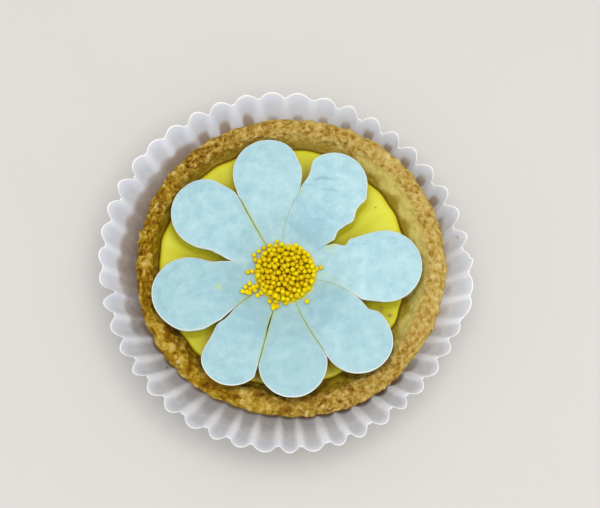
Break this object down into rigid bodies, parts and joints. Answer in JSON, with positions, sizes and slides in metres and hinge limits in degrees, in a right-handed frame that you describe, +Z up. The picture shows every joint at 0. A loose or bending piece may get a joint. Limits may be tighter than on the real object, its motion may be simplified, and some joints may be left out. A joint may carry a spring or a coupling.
{
  "type": "lemon tart",
  "caption": "Round lemon tart in a fluted paper case, its curd covered by a daisy of piped cream petals with a heap of round yellow sprinkles at the centre",
  "frame": {"origin": "the middle of the paper case's flat underside, below the middle of the case's outline seen from above", "axes": "+Z up out of the tart's open face, which is the shortest way through it; -Y towards the side that faces the viewer of the picture; +X to the viewer's right"},
  "size_m": [0.131, 0.132, 0.0307],
  "materials": {
    "white_paper": "matte, thin white greaseproof paper, pleated",
    "shortcrust": "matte, crumbly golden pastry",
    "lemon_curd": "smooth, set, softly shining",
    "piped_cream": "satin, pale blue-white",
    "yellow_sugar": "satin sugar balls, saturated yellow"
  },
  "bodies": {
    "root": {"paper_case": "white_paper", "crust": "shortcrust", "lemon_curd": "lemon_curd", "petal_1": "piped_cream", "petal_2": "piped_cream", "petal_3": "piped_cream", "petal_4": "piped_cream", "petal_5": "piped_cream", "petal_6": "piped_cream", "petal_7": "piped_cream", "petal_8": "piped_cream", "sprinkle_heap": "yellow_sugar"}
  },
  "joints": []
}
